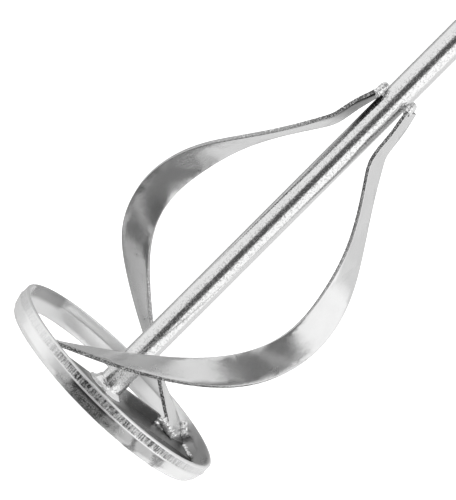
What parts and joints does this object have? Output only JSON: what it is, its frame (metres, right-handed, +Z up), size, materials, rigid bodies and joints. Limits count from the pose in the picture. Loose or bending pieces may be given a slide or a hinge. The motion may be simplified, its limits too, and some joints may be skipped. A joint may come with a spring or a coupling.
{
  "type": "mortar mixing paddle",
  "caption": "Welded steel mixing paddle: a low ring foot, twin helical strip blades and a long round shaft with a threaded drive end.",
  "frame": {"origin": "centre of the ring's lower face, the face the tool stands on", "axes": "+Z up along the shaft towards the drive end, +X towards the side where blade B bulges out"},
  "size_m": [0.121, 0.121, 0.5935],
  "materials": {
    "bright_bar": "bright, fine scratches",
    "strip_steel": "satin, mottled",
    "weld_metal": "rippled, plated over",
    "machined": "turned"
  },
  "bodies": {
    "root": {"adapter_weld": "weld_metal", "blade_a": "strip_steel", "blade_a_foot_weld": "weld_metal", "blade_a_ring_weld": "weld_metal", "blade_a_top_weld": "weld_metal", "blade_b": "strip_steel", "blade_b_foot_weld": "weld_metal", "blade_b_ring_weld": "weld_metal", "blade_b_top_weld": "weld_metal", "cross_bar": "strip_steel", "cross_bar_weld_a": "weld_metal", "cross_bar_weld_b": "weld_metal", "drive_adapter": "machined", "foot_weld": "weld_metal", "ring": "strip_steel", "ring_seam_weld": "weld_metal", "shaft": "bright_bar", "stiffener": "strip_steel", "stiffener_end_weld": "weld_metal", "stiffener_weld": "weld_metal"}
  },
  "joints": []
}
